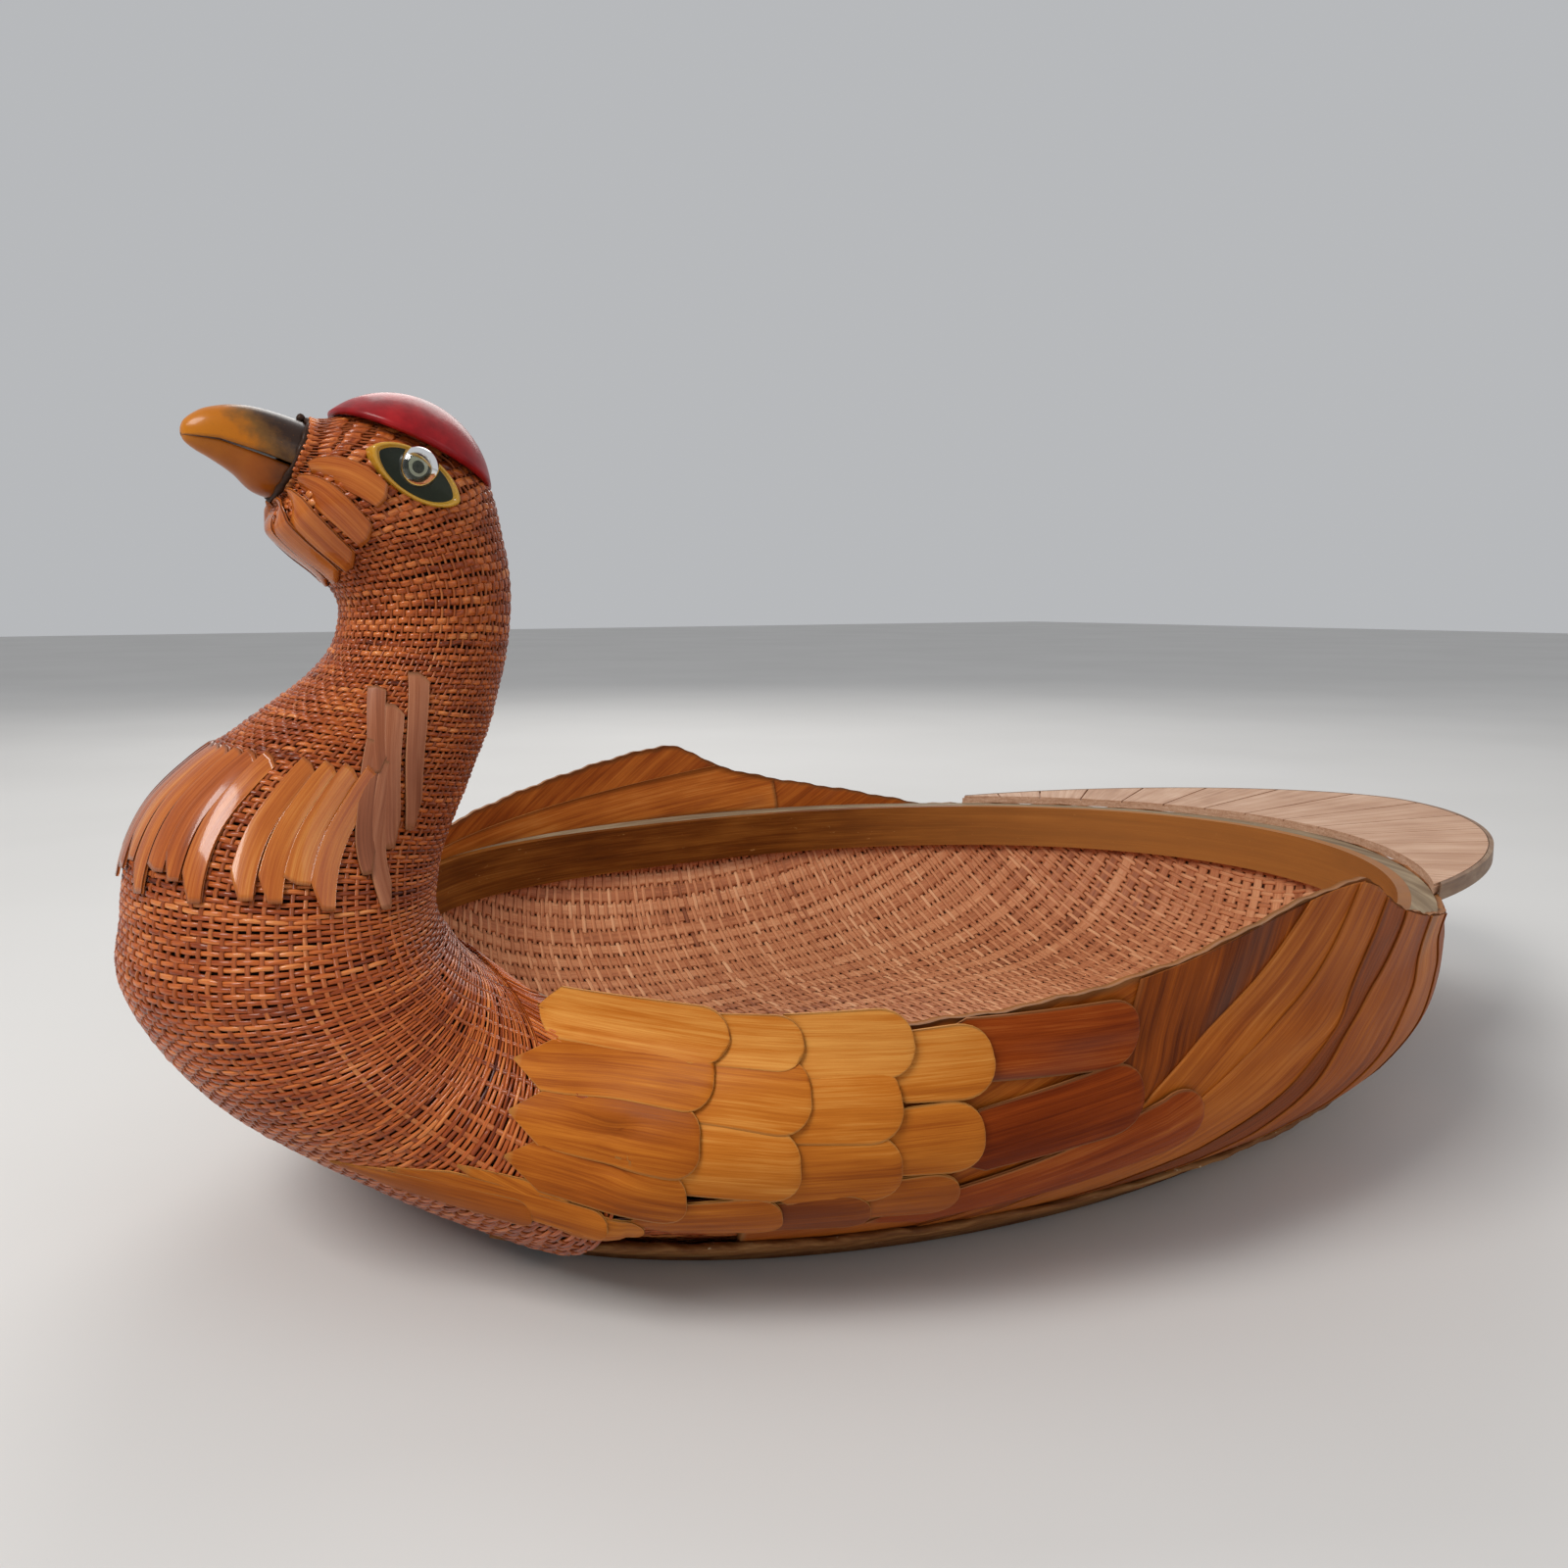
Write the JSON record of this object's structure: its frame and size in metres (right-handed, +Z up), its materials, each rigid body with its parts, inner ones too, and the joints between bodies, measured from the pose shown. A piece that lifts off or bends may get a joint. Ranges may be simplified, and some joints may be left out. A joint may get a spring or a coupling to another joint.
{
  "type": "woven bamboo duck basket",
  "caption": "Open basket woven of bamboo splints in the shape of a sitting duck, with a carved beak, a red crest, glass eyes, sheet-bamboo feathers and a flat tail fan.",
  "frame": {"origin": "on the ground under the centre of the bowl's rim, on the underside of the long base batten", "axes": "+X towards the tail, -X towards the beak, -Y towards the duck's left side, +Z up"},
  "size_m": [0.5343, 0.3343, 0.2178],
  "materials": {
    "lacquered_weave": "glossy lacquer over fine bamboo splints",
    "plain_weave": "satin woven bamboo splints",
    "carved_wood": "plain carved wood, hidden",
    "bent_hoop": "aged bamboo skin, semi-gloss",
    "plain_bamboo": "weathered bamboo, matt",
    "brown_veneer": "lacquered bamboo sheet with brown-red stain",
    "amber_veneer": "lacquered bamboo sheet, amber",
    "glossy_slips": "high-gloss lacquered slivers",
    "matt_slips": "satin slivers",
    "beak_paint": "glossy ochre paint shaded to black-brown at the base",
    "eye_paint": "glossy paint, yellow rim and dark centre",
    "eye_glass": "clear glass with a dark pupil",
    "crest_lacquer": "high-gloss crimson lacquer",
    "tail_veneer": "satin bamboo sheet"
  },
  "bodies": {
    "root": {"base_batten_front": "plain_bamboo", "base_batten_long": "plain_bamboo", "base_batten_rear": "plain_bamboo", "beak_lower": "beak_paint", "beak_upper": "beak_paint", "belly_leaves_left": "amber_veneer", "belly_leaves_right": "amber_veneer", "breast_collar": "glossy_slips", "crest_cap": "crest_lacquer", "eye_plaque_left": "eye_paint", "eye_plaque_right": "eye_paint", "flight_feather_left_1": "brown_veneer", "flight_feather_left_2": "brown_veneer", "flight_feather_left_3": "brown_veneer", "flight_feather_right_1": "brown_veneer", "flight_feather_right_2": "brown_veneer", "flight_feather_right_3": "brown_veneer", "foot_band": "plain_bamboo", "glass_eye_left": "eye_glass", "glass_eye_right": "eye_glass", "head_block": "carved_wood", "neck_slivers_left": "matt_slips", "neck_slivers_right": "matt_slips", "rim_cover": "plain_bamboo", "rim_hoop": "bent_hoop", "scale_feathers_left_1": "amber_veneer", "scale_feathers_left_2": "amber_veneer", "scale_feathers_left_3": "amber_veneer", "scale_feathers_left_4": "amber_veneer", "scale_feathers_right_1": "amber_veneer", "scale_feathers_right_2": "amber_veneer", "scale_feathers_right_3": "amber_veneer", "scale_feathers_right_4": "amber_veneer", "tail_edging": "tail_veneer", "tail_fan": "tail_veneer", "tail_strips": "tail_veneer", "throat_straps": "glossy_slips", "wing_panel_left": "brown_veneer", "wing_panel_right": "brown_veneer", "woven_bowl": "plain_weave", "woven_breast_and_neck": "lacquered_weave", "woven_hull": "lacquered_weave"}
  },
  "joints": []
}
